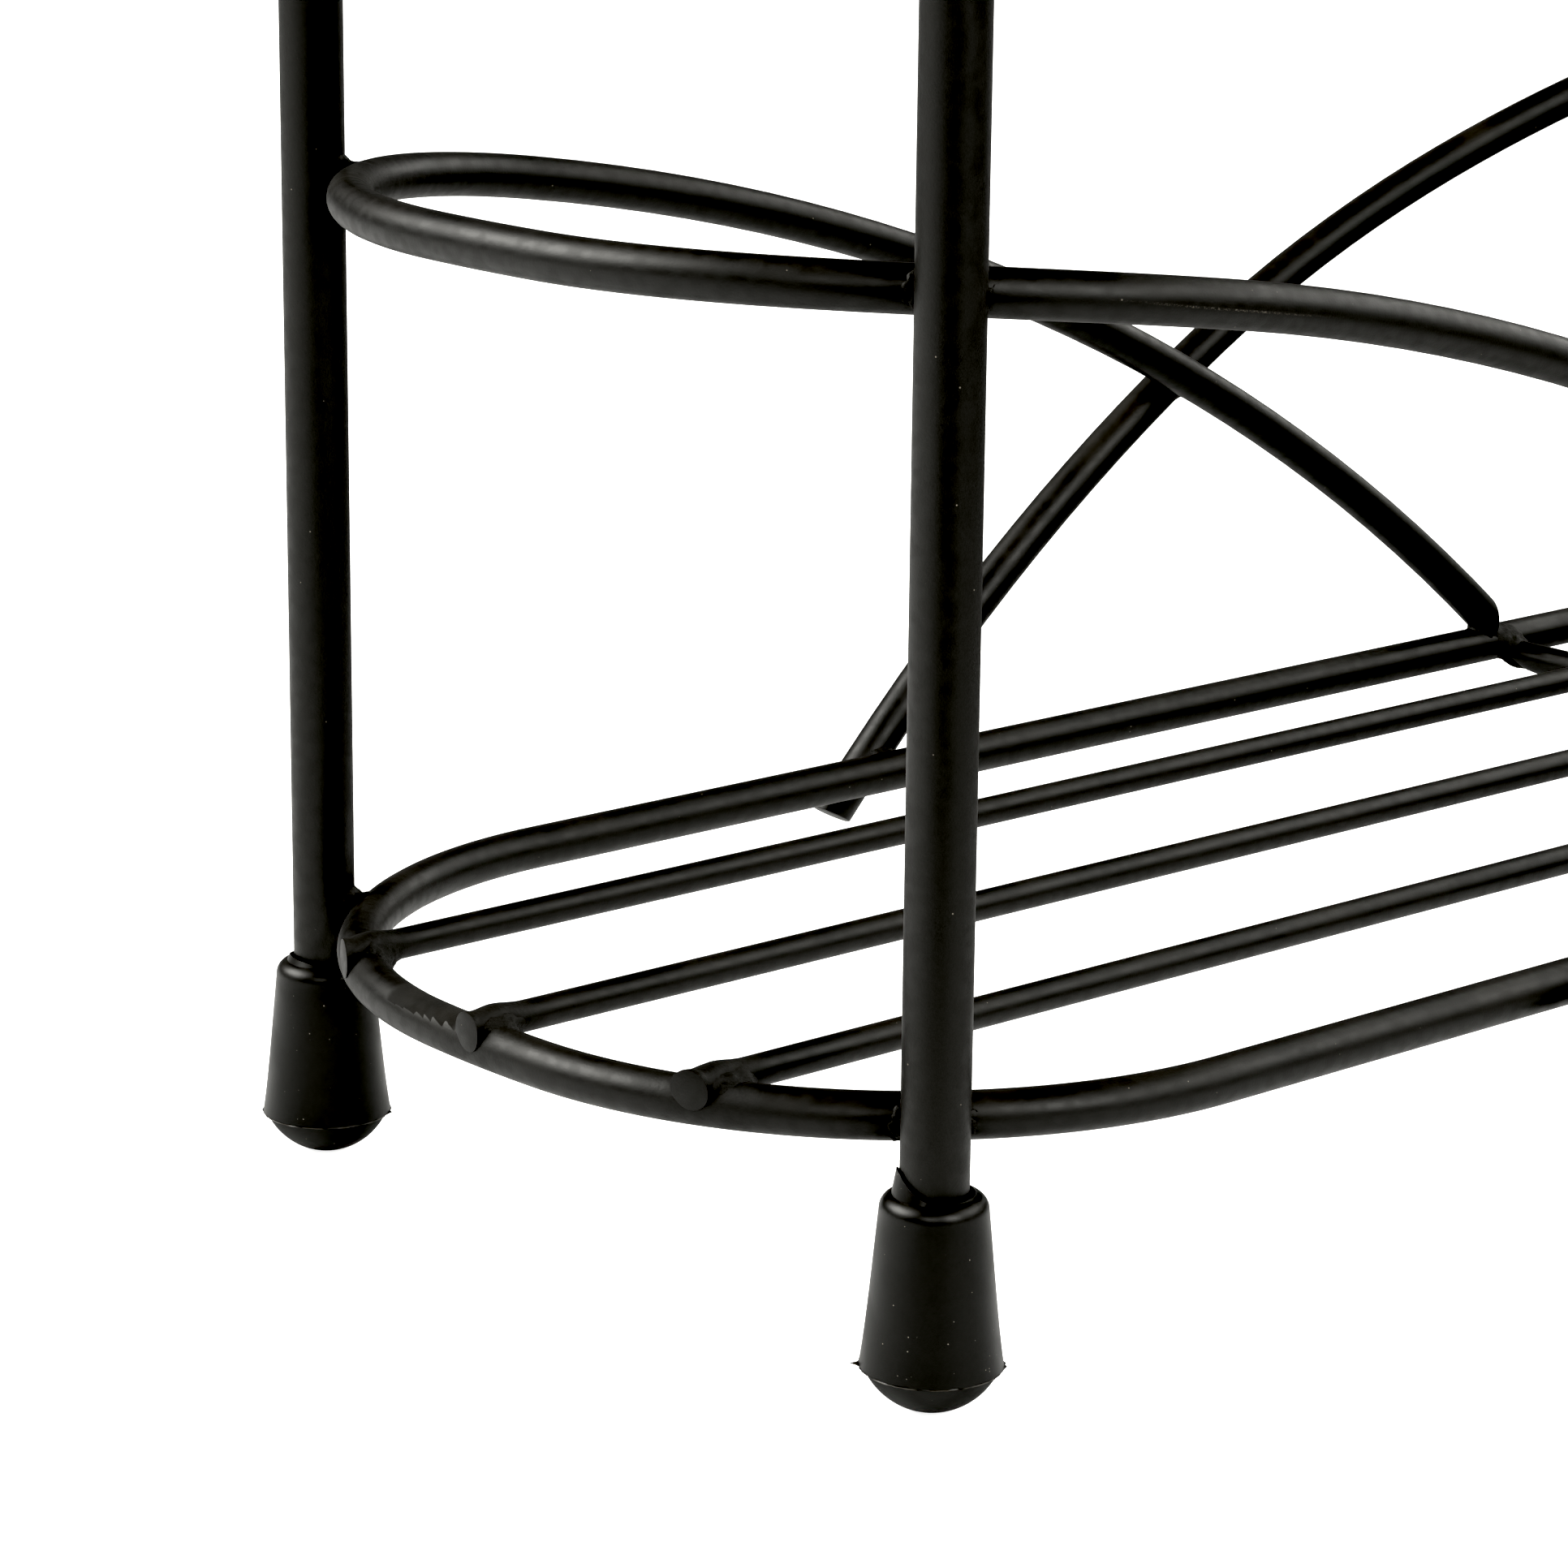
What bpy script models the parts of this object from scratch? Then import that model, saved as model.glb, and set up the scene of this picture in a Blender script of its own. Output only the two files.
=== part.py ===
# Three-tier wire spice rack: two inverted-U end frames on rubber feet carry three oval wire shelves,
# each with three lengthwise slats, one crossbar and a pair of crossing guard loops.
# Metres, +Z up. Origin: on the floor under the middle of the rack. X runs along the rack, -Y is the front.
import math

import bmesh
import bpy
from mathutils import Vector

# Wires
LEG_WIRE = 0.0060
RING_WIRE = 0.0043
SLAT_WIRE = 0.0029
CROSSBAR_WIRE = 0.0035

# Plan of a shelf ring: two straight rails, four corner arcs and a flatter arc across each end
LEG_SPREAD = 0.2370          # between the left and the right legs
RAIL_SPACING = 0.0970        # between the rails' centre lines
CORNER_SPACING = 0.0100      # between the centres of the two corner arcs at one end
END_BULGE = 0.0139           # of the end arc beyond the plane of the legs
END_RADIUS = 0.1370

# Shelf surface
SLAT_SPACING = 0.0250
SLAT_RISE = 0.0018           # slat centre lines over the ring's
SLAT_COUNT = 3

# Heights
SHELF_HEIGHT = 0.0244        # centre line of the bottom ring over the floor
TIER_PITCH = 0.1240
TIERS = ("bottom", "middle", "top")
ARCH_MARGIN = 0.0040         # from the top guard's crest to where the arch starts

# Guard loops: each arm is an arc in side view, highest at its own end of the rack
LEFT_GUARD_CREST = 0.0715    # over the ring's centre line
LEFT_GUARD_RADIUS = 0.2950
LEFT_GUARD_END = 0.0030      # height of the centre line at the upright cut of the arm
RIGHT_GUARD_CREST = 0.0737
RIGHT_GUARD_RADIUS = 0.2380
RIGHT_GUARD_END = -0.0051    # height of the centre line at the square cut, beside the rail
CROSSBAR_OFFSET = 0.0031     # from the left guard's cut ends

# Rubber foot
FOOT_HEIGHT = 0.0194
FOOT_RIM_RADIUS = 0.0048
FOOT_RIM_ROUND = 0.0010
FOOT_SKIRT_RADIUS = 0.0062
FOOT_SKIRT_HEIGHT = 0.0048   # the parting line over the floor
FOOT_HOLLOW = 0.0003         # how far the side curves in between rim and skirt
FOOT_DOME_STEP = 0.0005      # the dome starts this far inside the skirt
FOOT_SOLE_RADIUS = 0.0020
FOOT_BASE = 0.0060           # solid rubber under the leg

CLEARANCE = 0.0003           # between pieces that touch

# Facets
RING_SIDES = 12
GUARD_SIDES = 10
LEG_SIDES = 12
FOOT_SIDES = 20
CORNER_STEPS = 10
END_STEPS = 2
ARM_STEPS = 12
ARCH_STEPS = 16
DOME_STEPS = 4
ROUND_STEPS = 3
SIDE_STEPS = 4

# Values that follow from those above
LEG_X = LEG_SPREAD / 2
RAIL_Y = RAIL_SPACING / 2
CORNER_Y = CORNER_SPACING / 2
CORNER_RADIUS = RAIL_Y - CORNER_Y
END_X = LEG_X + END_BULGE
END_CENTRE_X = END_X - END_RADIUS
END_ANGLE = math.asin(CORNER_Y / (END_RADIUS - CORNER_RADIUS))
CORNER_X = END_CENTRE_X + (END_RADIUS - CORNER_RADIUS) * math.cos(END_ANGLE)
LEG_REACH = CORNER_RADIUS + RING_WIRE / 2 + CLEARANCE + LEG_WIRE / 2
LEG_Y = CORNER_Y + math.sqrt(LEG_REACH ** 2 - (LEG_X - CORNER_X) ** 2)
TOP_SHELF = SHELF_HEIGHT + TIER_PITCH * (len(TIERS) - 1)
ARCH_START = TOP_SHELF + max(LEFT_GUARD_CREST, RIGHT_GUARD_CREST) + ARCH_MARGIN
LAP = RING_WIRE + CLEARANCE  # sideways shift of a wire that runs beside another


def clear_scene():
    for obj in list(bpy.data.objects):
        bpy.data.objects.remove(obj, do_unlink=True)


def make_material(name, color, roughness, metallic):
    mat = bpy.data.materials.new(name)
    mat.use_nodes = True
    shader = mat.node_tree.nodes["Principled BSDF"]
    shader.inputs["Base Color"].default_value = (*color, 1.0)
    shader.inputs["Roughness"].default_value = roughness
    shader.inputs["Metallic"].default_value = metallic
    return mat


def powder_coat(name):
    return make_material(name + "_coat", (0.012, 0.012, 0.013), 0.42, 0.0)


def add_object(name, mesh, location=(0, 0, 0), parent=None):
    obj = bpy.data.objects.new(name, mesh)
    bpy.context.scene.collection.objects.link(obj)
    obj.location = location
    obj.parent = parent
    return obj


def wire_mesh(name, paths, diameter, sides, cyclic=False):
    # one round wire along each path of points
    curve = bpy.data.curves.new(name, "CURVE")
    curve.dimensions = "3D"
    curve.bevel_depth = diameter / 2
    curve.bevel_resolution = sides // 2 - 2
    curve.use_fill_caps = not cyclic
    for path in paths:
        spline = curve.splines.new("POLY")
        spline.points.add(len(path) - 1)
        for point, place in zip(spline.points, path):
            point.co = (*place, 1.0)
        spline.use_cyclic_u = cyclic
    guide = bpy.data.objects.new(name + "_guide", curve)
    bpy.context.scene.collection.objects.link(guide)
    view = bpy.context.evaluated_depsgraph_get()
    mesh = bpy.data.meshes.new_from_object(guide.evaluated_get(view))
    mesh.name = name
    bpy.data.objects.remove(guide, do_unlink=True)
    bpy.data.curves.remove(curve)
    smooth(mesh)
    return mesh


def smooth(mesh):
    mesh.shade_smooth()
    mesh.set_sharp_from_angle(angle=math.radians(40))


def cut_with(obj, cutter):
    cutter.hide_render = True
    cutter.display_type = "WIRE"
    cut = obj.modifiers.new(cutter.name, "BOOLEAN")
    cut.operation = "DIFFERENCE"
    cut.solver = "EXACT"
    cut.object = cutter


def arc(centre, radius, start, stop, steps):
    turns = (start + (stop - start) * i / steps for i in range(steps + 1))
    return [(centre[0] + radius * math.cos(t), centre[1] + radius * math.sin(t)) for t in turns]


def right_end():
    # the ring's plan round the right end, from the front rail to the back rail
    quarter = math.pi / 2
    front = arc((CORNER_X, -CORNER_Y), CORNER_RADIUS, -quarter, -END_ANGLE, CORNER_STEPS)
    middle = arc((END_CENTRE_X, 0.0), END_RADIUS, -END_ANGLE, END_ANGLE, END_STEPS)
    back = arc((CORNER_X, CORNER_Y), CORNER_RADIUS, END_ANGLE, quarter, CORNER_STEPS)
    return front + middle[1:] + back[1:]


def outer_x(y):
    # x of the ring's outermost surface at the height y in plan
    reach = END_RADIUS + RING_WIRE / 2
    if abs(y) <= reach * math.sin(END_ANGLE):
        return END_CENTRE_X + math.sqrt(reach ** 2 - y ** 2)
    reach = CORNER_RADIUS + RING_WIRE / 2
    return CORNER_X + math.sqrt(reach ** 2 - (abs(y) - CORNER_Y) ** 2)


def drop_distance(crest, radius, height):
    # how far from the crest an arm has fallen to a height
    return math.sqrt(radius ** 2 - (radius - (crest - height)) ** 2)


def arm_height(crest, radius, run):
    return crest - radius + math.sqrt(radius ** 2 - run ** 2)


def slat_rows():
    middle = (SLAT_COUNT - 1) / 2
    return [(i - middle) * SLAT_SPACING for i in range(SLAT_COUNT)]


def ring_mesh():
    right = right_end()
    left = [(-x, -y) for x, y in right]
    return wire_mesh("shelf_ring", [[(x, y, 0.0) for x, y in right + left]], RING_WIRE, RING_SIDES, True)


def slat_mesh(name, y):
    # cut flush with the ring's outer side at both ends
    end = outer_x(y)
    return wire_mesh(name, [[(-end, 0, 0), (end, 0, 0)]], SLAT_WIRE, RING_SIDES)


def notch_cutter(tier, parent):
    # saddles that the slats lie in, cut in both ends of the ring
    paths = []
    for y in slat_rows():
        end = outer_x(y) + RING_WIRE
        paths.append([(-end, y, SLAT_RISE), (end, y, SLAT_RISE)])
    mesh = wire_mesh("slat_saddles", paths, SLAT_WIRE + 2 * CLEARANCE, RING_SIDES)
    return add_object(tier + "_slat_saddles", mesh, parent=parent)


def crossing_x():
    # x where the two guards' arms cross in side view, found by halving
    low, high = -CORNER_X, CORNER_X
    for _ in range(40):
        x = (low + high) / 2
        left = arm_height(LEFT_GUARD_CREST, LEFT_GUARD_RADIUS, x + END_X)
        right = arm_height(RIGHT_GUARD_CREST, RIGHT_GUARD_RADIUS, END_X - x)
        if left > right:
            low = x
        else:
            high = x
    return low


def lap_shift(x):
    # the right guard's arms run outside the left guard's, then ease in to the rails' line
    start = crossing_x() + 2 * RING_WIRE
    t = min(max((x - start) / (CORNER_X - start), 0.0), 1.0)
    return LAP * (1 - t * t * (3 - 2 * t))


def guard_path(crest, radius, end_height, shift):
    # a guard at the right end: front arm from its foot, round the end, back arm to its foot
    foot_x = END_X - drop_distance(crest, radius, end_height)
    steps = [foot_x + (CORNER_X - foot_x) * i / ARM_STEPS for i in range(ARM_STEPS)]
    front = [(x, -RAIL_Y - shift(x)) for x in steps]
    back = [(x, -y) for x, y in reversed(front)]
    plan = front + right_end() + back
    return [(x, y, arm_height(crest, radius, max(END_X - x, 0.0))) for x, y in plan]


def left_guard_mesh():
    # runs on down to the rails' centre lines, where the seats are cut
    path = guard_path(LEFT_GUARD_CREST, LEFT_GUARD_RADIUS, 0.0, lambda x: 0.0)
    return wire_mesh("left_guard", [[(-x, -y, z) for x, y, z in path]], RING_WIRE, GUARD_SIDES)


def right_guard_mesh():
    path = guard_path(RIGHT_GUARD_CREST, RIGHT_GUARD_RADIUS, RIGHT_GUARD_END, lap_shift)
    return wire_mesh("right_guard", [path], RING_WIRE, GUARD_SIDES)


def left_foot_x():
    return -END_X + drop_distance(LEFT_GUARD_CREST, LEFT_GUARD_RADIUS, LEFT_GUARD_END)


def seat_cutter(tier, parent):
    # two rods round the rails, a clearance thicker, which hollow the guard's feet to sit on them
    reach = drop_distance(LEFT_GUARD_CREST, LEFT_GUARD_RADIUS, 0.0) - END_X + 4 * RING_WIRE
    start = left_foot_x() - 4 * RING_WIRE
    paths = [[(start, y, 0.0), (reach, y, 0.0)] for y in (-RAIL_Y, RAIL_Y)]
    mesh = wire_mesh("rail_seats", paths, RING_WIRE + 2 * CLEARANCE, 2 * RING_SIDES)
    return add_object(tier + "_rail_seats", mesh, parent=parent)


def trim_cutter(tier, parent):
    # a block behind the upright cut of the guard's feet
    length = 10 * RING_WIRE
    width = RAIL_SPACING + 4 * RING_WIRE
    bm = bmesh.new()
    bmesh.ops.create_cube(bm, size=1.0)
    bmesh.ops.scale(bm, vec=(length, width, length), verts=bm.verts)
    mesh = bpy.data.meshes.new("foot_trim")
    bm.to_mesh(mesh)
    bm.free()
    return add_object(tier + "_foot_trim", mesh, (left_foot_x() + length / 2, 0, 0), parent)


def crossbar_mesh():
    end = RAIL_Y - RING_WIRE / 2 - CLEARANCE
    return wire_mesh("crossbar", [[(0, -end, 0), (0, end, 0)]], CROSSBAR_WIRE, RING_SIDES)


def end_frame_mesh():
    low = FOOT_BASE + CLEARANCE
    arch = arc((0.0, ARCH_START), LEG_Y, 0.0, math.pi, ARCH_STEPS)
    path = [(0, LEG_Y, low)] + [(0, y, z) for y, z in arch] + [(0, -LEG_Y, low)]
    return wire_mesh("end_frame", [path], LEG_WIRE, LEG_SIDES)


def foot_profile():
    # radius and height from the middle of the bore's floor, out over the rim and down to the sole
    bore = LEG_WIRE / 2 + CLEARANCE
    lip = FOOT_RIM_RADIUS - FOOT_RIM_ROUND
    points = [(0.0, FOOT_BASE), (bore, FOOT_BASE), (bore, FOOT_HEIGHT)]
    points += arc((lip, FOOT_HEIGHT - FOOT_RIM_ROUND), FOOT_RIM_ROUND, math.pi / 2, 0.0, ROUND_STEPS)
    top = FOOT_HEIGHT - FOOT_RIM_ROUND
    for i in range(1, SIDE_STEPS + 1):
        t = i / SIDE_STEPS
        radius = FOOT_RIM_RADIUS + (FOOT_SKIRT_RADIUS - FOOT_RIM_RADIUS) * t
        hollow = FOOT_HOLLOW * math.sin(math.pi * t)
        points.append((radius - hollow, top + (FOOT_SKIRT_HEIGHT - top) * t))
    dome = FOOT_SKIRT_RADIUS - FOOT_DOME_STEP
    sole_turn = math.acos(FOOT_SOLE_RADIUS / dome)
    depth = FOOT_SKIRT_HEIGHT / math.sin(sole_turn)
    for i in range(DOME_STEPS + 1):
        turn = sole_turn * i / DOME_STEPS
        points.append((dome * math.cos(turn), FOOT_SKIRT_HEIGHT - depth * math.sin(turn)))
    points.append((0.0, 0.0))
    return points


def foot_mesh():
    bm = bmesh.new()
    verts = [bm.verts.new((radius, 0.0, height)) for radius, height in foot_profile()]
    edges = [bm.edges.new(pair) for pair in zip(verts, verts[1:])]
    bmesh.ops.spin(bm, geom=verts + edges, cent=(0, 0, 0), axis=(0, 0, 1), angle=2 * math.pi,
                   steps=FOOT_SIDES, use_merge=True)
    bmesh.ops.remove_doubles(bm, verts=bm.verts, dist=1e-6)
    bmesh.ops.recalc_face_normals(bm, faces=bm.faces)
    mesh = bpy.data.meshes.new("rubber_foot")
    bm.to_mesh(mesh)
    bm.free()
    smooth(mesh)
    return mesh


def paint(obj, mat):
    # the slot's own link keeps a shared mesh free of any one piece's material
    if not obj.data.materials:
        obj.data.materials.append(None)
    obj.material_slots[0].link = "OBJECT"
    obj.material_slots[0].material = mat


def add_tier(tier, height, meshes):
    base = bpy.data.objects.new(tier + "_tier", None)
    bpy.context.scene.collection.objects.link(base)
    base.location = (0, 0, height)

    ring = add_object(tier + "_shelf_ring", meshes["ring"].copy(), parent=base)
    cut_with(ring, notch_cutter(tier, base))
    pieces = [ring]

    rows = zip(("front", "centre", "back"), slat_rows())
    for place, y in rows:
        mesh = slat_mesh(place + "_slat", y)
        pieces.append(add_object(f"{tier}_{place}_slat", mesh, (0, y, SLAT_RISE), base))

    bar_z = SLAT_RISE - SLAT_WIRE / 2 - CLEARANCE - CROSSBAR_WIRE / 2
    bar_x = left_foot_x() + CROSSBAR_OFFSET
    pieces.append(add_object(tier + "_crossbar", meshes["crossbar"].copy(), (bar_x, 0, bar_z), base))

    left = add_object(tier + "_left_guard", meshes["left_guard"].copy(), parent=base)
    cut_with(left, seat_cutter(tier, base))
    cut_with(left, trim_cutter(tier, base))
    right = add_object(tier + "_right_guard", meshes["right_guard"].copy(), parent=base)
    pieces += [left, right]
    for piece in pieces:
        paint(piece, powder_coat(piece.name))


def build_rack():
    clear_scene()
    for side, sign in (("left", -1), ("right", 1)):
        frame = add_object(side + "_end_frame", end_frame_mesh(), (sign * LEG_X, 0, 0))
        paint(frame, powder_coat(frame.name))
        for end, y in (("front", -LEG_Y), ("back", LEG_Y)):
            foot = add_object(f"{side}_{end}_foot", foot_mesh(), (sign * LEG_X, y, 0))
            paint(foot, make_material(foot.name + "_rubber", (0.010, 0.010, 0.010), 0.30, 0.0))
    meshes = {
        "ring": ring_mesh(),
        "crossbar": crossbar_mesh(),
        "left_guard": left_guard_mesh(),
        "right_guard": right_guard_mesh(),
    }
    for number, tier in enumerate(TIERS):
        add_tier(tier, SHELF_HEIGHT + TIER_PITCH * number, meshes)


build_rack()
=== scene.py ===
import math

import bpy
import numpy as np
from mathutils import Matrix, Vector, noise


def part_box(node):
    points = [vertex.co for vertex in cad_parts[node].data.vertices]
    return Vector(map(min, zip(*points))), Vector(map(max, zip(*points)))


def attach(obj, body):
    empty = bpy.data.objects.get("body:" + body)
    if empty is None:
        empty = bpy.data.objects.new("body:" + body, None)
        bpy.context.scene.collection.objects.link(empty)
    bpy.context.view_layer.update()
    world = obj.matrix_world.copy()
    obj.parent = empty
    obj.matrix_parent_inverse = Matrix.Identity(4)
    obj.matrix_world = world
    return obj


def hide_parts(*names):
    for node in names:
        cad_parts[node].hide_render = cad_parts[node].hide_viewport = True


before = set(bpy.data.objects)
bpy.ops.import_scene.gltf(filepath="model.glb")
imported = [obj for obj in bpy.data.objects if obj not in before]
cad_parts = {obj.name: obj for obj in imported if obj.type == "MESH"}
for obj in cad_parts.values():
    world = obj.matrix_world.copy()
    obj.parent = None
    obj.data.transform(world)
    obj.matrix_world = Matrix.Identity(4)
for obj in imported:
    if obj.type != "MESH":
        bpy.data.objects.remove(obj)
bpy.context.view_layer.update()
print("frame loaded:", len(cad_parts), "solids")

tiers = ("bottom", "middle", "top")


def middleOf(node):
    low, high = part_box(node)
    return (low + high) / 2


# Plan that every shelf ring and guard follows, along their centre lines
plan = {
    "railSpacing": 0.0970,
    "slatSpacing": 0.0250,
    "cornerSpacing": 0.0100,     # between the two corner arcs of one end
    "endBulge": 0.0139,          # past the plane of the legs
    "endRadius": 0.1370,
    "cornerTurn": math.radians(1.5),
    "endTurn": math.radians(1.0),
}
slatRows = {"front": -plan["slatSpacing"], "centre": 0.0, "back": plan["slatSpacing"]}
railY = plan["railSpacing"] / 2
cornerY = plan["cornerSpacing"] / 2
cornerRadius = railY - cornerY
legX = middleOf("right_end_frame").x
endX = legX + plan["endBulge"]
endCentreX = endX - plan["endRadius"]
endAngle = math.asin(cornerY / (plan["endRadius"] - cornerRadius))
cornerX = endCentreX + (plan["endRadius"] - cornerRadius) * math.cos(endAngle)
ringHeights = [middleOf(tier + "_shelf_ring").z for tier in tiers]
ringZ = ringHeights[0]


# Wire work

def arcPoints(centre, radius, start, stop, turn):
    steps = max(1, math.ceil(abs(stop - start) / turn))
    angles = (start + (stop - start) * i / steps for i in range(steps + 1))
    return [(centre[0] + radius * math.cos(a), centre[1] + radius * math.sin(a)) for a in angles]


def rightEndPlan():
    # from the front rail round the right end to the back rail
    quarter = math.pi / 2
    turn = plan["cornerTurn"]
    front = arcPoints((cornerX, -cornerY), cornerRadius, -quarter, -endAngle, turn)
    middle = arcPoints((endCentreX, 0), plan["endRadius"], -endAngle, endAngle, plan["endTurn"])
    back = arcPoints((cornerX, cornerY), cornerRadius, endAngle, quarter, turn)
    return front + middle[1:] + back[1:]


def ringX(y, outward=0.0):
    # x of the ring's centre line, or of a line that far outside it, at a place across the rack
    reach = plan["endRadius"] + outward
    if abs(y) <= reach * math.sin(endAngle):
        return endCentreX + math.sqrt(reach ** 2 - y ** 2)
    reach = cornerRadius + outward
    return cornerX + math.sqrt(reach ** 2 - (abs(y) - cornerY) ** 2)


def flipSides(points):
    # the same points at the other end of the rack, still in walking order
    return [(-x, -y, z) for x, y, z in points]


def sweepWire(path, radius, sides, closed=False, edge=0.0, swell=None, cutWay=None):
    # Round wire along a path. edge rounds both ends, swell(distance, turn) adds to the radius
    # and cutWay is the way that both cut faces look.
    path = [Vector(p) for p in path]
    scale = [1.0] * len(path)
    for _ in range(2 if edge else 0):
        # one end, then the other
        way = (path[1] - path[0]).normalized()
        path = [path[0] + way * edge * t for t in (0.0, 0.3, 1.0)] + path[1:]
        scale = [1 - edge / radius, 1 - 0.29 * edge / radius, 1.0] + scale[1:]
        path, scale = path[::-1], scale[::-1]
    count = len(path)
    length = 0.0
    rows = []
    up = None
    for i, point in enumerate(path):
        before = path[i - 1] if closed or i else path[0]
        after = path[(i + 1) % count] if closed or i < count - 1 else path[-1]
        tangent = ((after - point).normalized() + (point - before).normalized()).normalized()
        if up is None:
            up = Vector((1, 0, 0)) if abs(tangent.z) > 0.9 else Vector((0, 0, 1))
        up = (up - tangent * up.dot(tangent)).normalized()
        side = tangent.cross(up)
        if i:
            length += (point - path[i - 1]).length
        row = []
        for k in range(sides):
            turn = 2 * math.pi * k / sides
            size = radius * scale[i] + (swell(length, turn) if swell else 0.0)
            place = point + (up * math.cos(turn) + side * math.sin(turn)) * size
            if cutWay and (i < 3 or i >= count - 3):
                place += tangent * (cutWay.dot(point - place) / cutWay.dot(tangent))
            row.append(place)
        rows.append(row)
    verts = [p for row in rows for p in row]
    faces = []
    for i in range(count if closed else count - 1):
        a, b = i * sides, (i + 1) % count * sides
        for k in range(sides):
            m = (k + 1) % sides
            faces.append((a + k, b + k, b + m, a + m))
    if not closed:
        faces.append(tuple(range(sides)))
        faces.append(tuple(len(verts) - sides + k for k in reversed(range(sides))))
    return verts, faces


def addObject(name, data):
    made = bpy.data.objects.new(name, data)
    bpy.context.scene.collection.objects.link(made)
    return made


def addPiece(name, parts, material, nodes=(), sharp=math.radians(35), heats=None):
    # One object from several lists of points and faces. heats: how near a weld the coat is at each point.
    verts, faces = [], []
    for partVerts, partFaces in parts:
        start = len(verts)
        verts += [tuple(v) for v in partVerts]
        faces += [tuple(start + i for i in face) for face in partFaces]
    mesh = bpy.data.meshes.new(name)
    mesh.from_pydata(verts, [], faces)
    mesh.validate()
    mesh.update()
    mesh.shade_smooth()
    mesh.set_sharp_from_angle(angle=sharp)
    mesh.materials.append(material)
    if heats:
        mesh.attributes.new("weldHeat", "FLOAT", "POINT").data.foreach_set("value", heats)
    piece = addObject(name, mesh)
    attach(piece, "root")
    if nodes:
        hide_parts(*nodes)


# Shader work

def newNode(tree, kind, inputs=None, **settings):
    node = tree.nodes.new(kind)
    for key, value in settings.items():
        setattr(node, key, value)
    for key, value in (inputs or {}).items():
        if isinstance(value, bpy.types.NodeSocket):
            tree.links.new(value, node.inputs[key])
        else:
            node.inputs[key].default_value = value
    return node


def newMath(tree, operation, a, b=None, clamp=False):
    inputs = {0: a} if b is None else {0: a, 1: b}
    return newNode(tree, "ShaderNodeMath", inputs, operation=operation, use_clamp=clamp).outputs[0]


def newRamp(tree, value, low, high, toLow=0.0, toHigh=1.0):
    inputs = {"Value": value, "From Min": low, "From Max": high, "To Min": toLow, "To Max": toHigh}
    node = newNode(tree, "ShaderNodeMapRange", inputs, interpolation_type="SMOOTHSTEP")
    return node.outputs["Result"]


def newProduct(tree, value, *others):
    for other in others:
        value = newMath(tree, "MULTIPLY", value, other)
    return value


def newNoise(tree, place, size, detail, roughness):
    scale = newMath(tree, "DIVIDE", 1.0, size)
    node = newNode(tree, "ShaderNodeTexNoise", {
        "Vector": place, "Scale": scale, "Detail": detail, "Roughness": roughness})
    return node.outputs["Fac"]


def offsetFrom(tree, place, middle):
    offset = newNode(tree, "ShaderNodeVectorMath", {0: place, 1: middle}, operation="SUBTRACT")
    return newNode(tree, "ShaderNodeSeparateXYZ", {"Vector": offset.outputs[0]}).outputs


def newBlend(tree, share, first, second):
    # from one colour to another
    node = newNode(tree, "ShaderNodeMix", data_type="RGBA")
    tree.links.new(share, node.inputs["Factor"])
    node.inputs["A"].default_value = (*first, 1)
    node.inputs["B"].default_value = (*second, 1)
    return node.outputs["Result"]


def newMaterial(name):
    mat = bpy.data.materials.new(name)
    mat.use_nodes = True
    return mat, mat.node_tree, newNode(mat.node_tree, "ShaderNodeTexCoord").outputs["Object"]


def newGroup(name, inputs, outputs):
    tree = bpy.data.node_groups.new(name, "ShaderNodeTree")
    for label, value in inputs.items():
        kind = "NodeSocketVector" if isinstance(value, tuple) else "NodeSocketFloat"
        tree.interface.new_socket(label, in_out="INPUT", socket_type=kind).default_value = value
    for label in outputs:
        tree.interface.new_socket(label, in_out="OUTPUT", socket_type="NodeSocketFloat")
    return tree, tree.nodes.new("NodeGroupInput").outputs, tree.nodes.new("NodeGroupOutput").inputs


def placeGroup(tree, effect, place, inputs):
    return newNode(tree, "ShaderNodeGroup", {"Place": place, **inputs}, node_tree=effects[effect]).outputs


def grainGroup():
    # fine grain over a slow orange peel
    tree, given, out = newGroup(
        "coatGrain", {"Place": (0, 0, 0), "Grain Size": 0.0002, "Peel Size": 0.0012}, ("Height", "Tone"))
    fine = newNoise(tree, given["Place"], given["Grain Size"], 3.0, 0.6)
    slow = newNoise(tree, given["Place"], given["Peel Size"], 1.0, 0.4)
    height = newMath(tree, "ADD", newProduct(tree, fine, 0.85), newProduct(tree, slow, 0.15))
    tree.links.new(height, out["Height"])
    tree.links.new(newRamp(tree, slow, 0.3, 0.7), out["Tone"])
    return tree


def speckGroup():
    # scattered specks of dust, a share of the cells of a fine cell pattern
    tree, given, out = newGroup(
        "dustSpecks", {"Place": (0, 0, 0), "Spacing": 0.002, "Size": 0.1, "Share": 0.3}, ("Mask",))
    cells = newNode(tree, "ShaderNodeTexVoronoi", {
        "Vector": given["Place"], "Scale": newMath(tree, "DIVIDE", 1.0, given["Spacing"])})
    parts = newNode(tree, "ShaderNodeSeparateColor", {"Color": cells.outputs["Color"]}).outputs
    chosen = newMath(tree, "LESS_THAN", parts["Red"], given["Share"])
    size = newProduct(tree, given["Size"], newMath(tree, "ADD", 0.35, parts["Green"]))
    away = newMath(tree, "DIVIDE", cells.outputs["Distance"], size)
    near = newMath(tree, "SUBTRACT", 1.0, away, clamp=True)
    tree.links.new(newProduct(tree, chosen, newRamp(tree, near, 0.0, 0.5)), out["Mask"])
    return tree


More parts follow.
